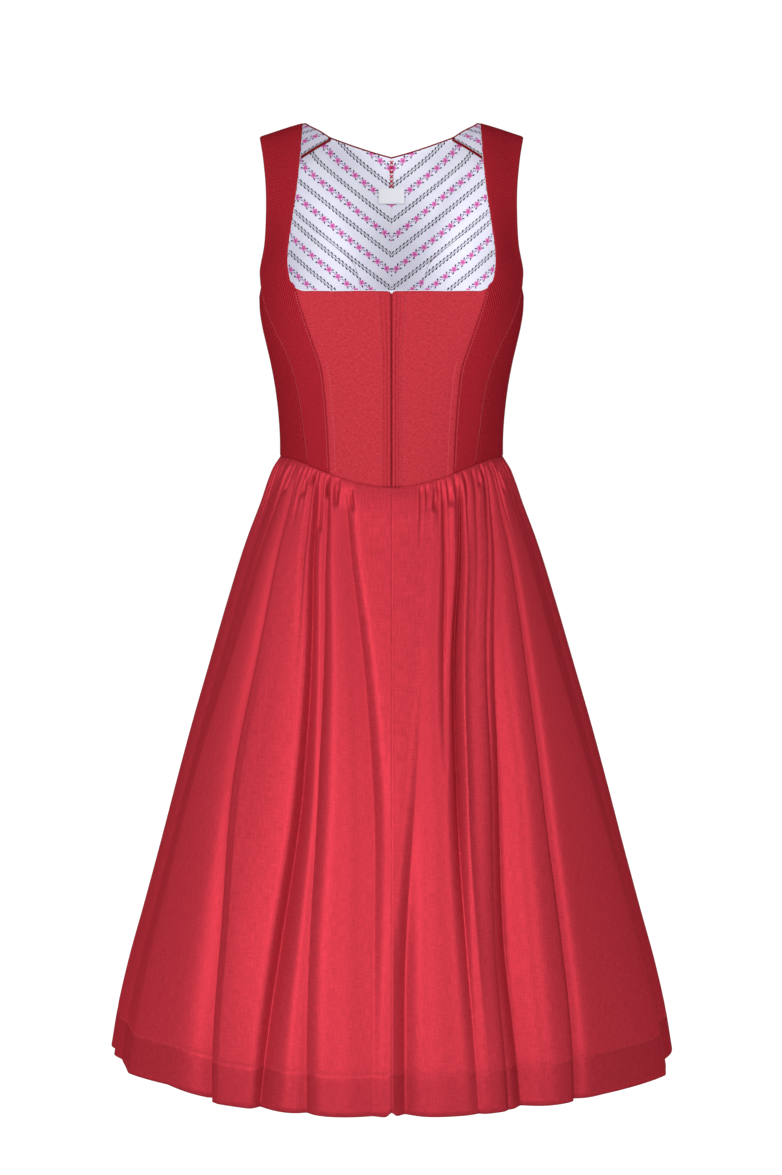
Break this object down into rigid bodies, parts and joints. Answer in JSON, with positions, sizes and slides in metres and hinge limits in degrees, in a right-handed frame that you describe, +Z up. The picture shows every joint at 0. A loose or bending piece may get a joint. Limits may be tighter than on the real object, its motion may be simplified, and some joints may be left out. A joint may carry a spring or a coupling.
{
  "type": "dirndl",
  "caption": "Sleeveless midi dirndl dress with a panelled, lined bodice, wide square neckline and gathered skirt, filled out as worn.",
  "frame": {"origin": "midway between the shoulders, at the height of the straps' crest, where the wearer's shoulders hold the dress", "axes": "+Z up along the dress, +X to the wearer's left, +Y to the wearer's back (the wearer faces -Y)"},
  "size_m": [0.6657, 0.5999, 1.084],
  "materials": {
    "bodice_cloth": "matt linen weave",
    "skirt_cloth": "soft cotton satin",
    "lining_print": "smooth printed cotton",
    "piping": "satin piping",
    "label": "woven satin"
  },
  "bodies": {
    "root": {"centre_front_r": "bodice_cloth", "centre_front_l": "bodice_cloth", "placket_r": "bodice_cloth", "placket_l": "bodice_cloth", "side_front_r": "bodice_cloth", "side_front_l": "bodice_cloth", "side_r": "bodice_cloth", "side_l": "bodice_cloth", "side_back_r": "bodice_cloth", "side_back_l": "bodice_cloth", "centre_back_r": "bodice_cloth", "centre_back_l": "bodice_cloth", "lining_centre_front_r": "lining_print", "lining_centre_front_l": "lining_print", "lining_side_front_r": "lining_print", "lining_side_front_l": "lining_print", "lining_side_r": "lining_print", "lining_side_l": "lining_print", "lining_side_back_r": "lining_print", "lining_side_back_l": "lining_print", "lining_centre_back_r": "lining_print", "lining_centre_back_l": "lining_print", "neck_label": "label", "neck_piping": "piping", "shoulder_piping_r": "piping", "shoulder_piping_l": "piping", "skirt_front_r": "skirt_cloth", "skirt_front_l": "skirt_cloth", "skirt_back": "skirt_cloth"}
  },
  "joints": []
}
